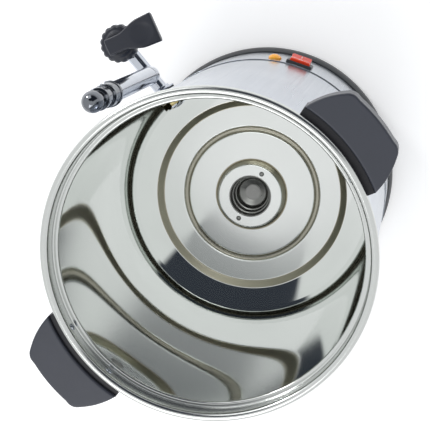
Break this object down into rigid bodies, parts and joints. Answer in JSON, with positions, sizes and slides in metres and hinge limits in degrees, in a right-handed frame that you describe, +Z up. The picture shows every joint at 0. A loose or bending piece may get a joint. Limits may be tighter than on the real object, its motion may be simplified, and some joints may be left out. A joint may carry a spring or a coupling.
{
  "type": "electric drinks urn",
  "caption": "Open-topped polished steel urn for heating drinks, with a stepped heated floor, side handles, lever tap, sight gauge, rocker switch and black base ring.",
  "frame": {"origin": "centre of the bottom of the rubber foot ring, on the table", "axes": "+Z up along the urn's axis; the tap and sight gauge face -Y; the handles lie on the X axis; the power inlet is at +Y"},
  "size_m": [0.374, 0.378, 0.46],
  "materials": {
    "bowl_steel": "bright polished stainless steel",
    "well_steel": "dull stainless steel, browned by heat",
    "jacket_steel": "polished stainless steel with faint upright streaks",
    "plain_steel": "plain zinc-plated steel",
    "chrome_plate": "mirror chrome plate",
    "cast_aluminium": "as cast",
    "element_sheath": "dark heat-stained sheath",
    "plated_brass": "dull plated brass",
    "black_plastic": "satin black moulding",
    "handle_plastic": "satin charcoal phenolic moulding",
    "tap_plastic": "satin black moulding",
    "red_plastic": "gloss translucent red",
    "amber_lens": "gloss translucent amber",
    "pale_plastic": "plain moulding",
    "brown_plastic": "plain phenolic moulding",
    "black_rubber": "plain",
    "pale_rubber": "translucent silicone",
    "clear_glass": "clear borosilicate tube"
  },
  "bodies": {
    "urn": {"bowl_wall": "bowl_steel", "bowl_floor": "bowl_steel", "boss_cap": "bowl_steel", "pump_well": "well_steel", "boss_rivets": "well_steel", "outer_jacket": "jacket_steel", "waist_ring": "black_plastic", "base_skirt": "jacket_steel", "base_ring": "black_plastic", "foot_ring": "black_rubber", "base_plate": "plain_steel", "plate_screws": "plain_steel", "heater_plate": "cast_aluminium", "heater_element": "element_sheath", "heater_clamp": "plain_steel", "heater_nuts": "plain_steel", "boil_thermostat": "brown_plastic", "cutoff_thermostat": "pale_plastic", "terminal_block": "pale_plastic", "switch_housing": "black_plastic", "lamp_lens": "amber_lens", "lamp_body": "pale_plastic", "power_inlet": "black_plastic", "inlet_blades": "plated_brass", "handle_right": "handle_plastic", "handle_left": "handle_plastic", "handle_screws": "plain_steel", "tap_shank": "chrome_plate", "outer_gasket": "black_rubber", "inner_gasket": "pale_rubber", "shank_nut": "plated_brass", "tap_body": "chrome_plate", "tap_bonnet": "tap_plastic", "gauge_glass": "clear_glass", "gauge_shield": "chrome_plate", "gauge_cap": "chrome_plate", "gauge_seals": "black_rubber"},
    "rocker": {"switch_rocker": "red_plastic"},
    "swivel": {"cam_washer": "chrome_plate"},
    "stem": {"tap_stem": "plated_brass", "seat_cup": "pale_rubber", "tap_spring": "plain_steel", "lever_pin": "plain_steel"},
    "lever": {"tap_lever": "tap_plastic"}
  },
  "joints": [
    {"name": "rocker_tilt", "type": "hinge", "parent": "urn", "child": "rocker", "pos_m": [-0.12065, -0.07393, 0.095], "axis": [0.5225, -0.8526, 0], "range_deg": [0, 24]},
    {"name": "lever_swivel", "type": "hinge", "parent": "urn", "child": "swivel", "pos_m": [0, -0.211, 0.191], "axis": [0, 0, 1], "range_deg": [-36, 248]},
    {"name": "stem_lift", "type": "slide", "parent": "swivel", "child": "stem", "axis": [0, 0, 1], "range_m": [0, 0.0028], "stiffness_N_per_m": 3000, "springref_m": -0.0035, "deforming": ["tap_spring"]},
    {"name": "lever_tilt", "type": "hinge", "parent": "stem", "child": "lever", "pos_m": [0, -0.211, 0.1983], "axis": [-0.2756, -0.9613, 0], "range_deg": [0, 16.04]}
  ],
  "couplings": [
    {"joint": "lever_tilt", "follows": "stem_lift", "rad_per_m": 100}
  ]
}
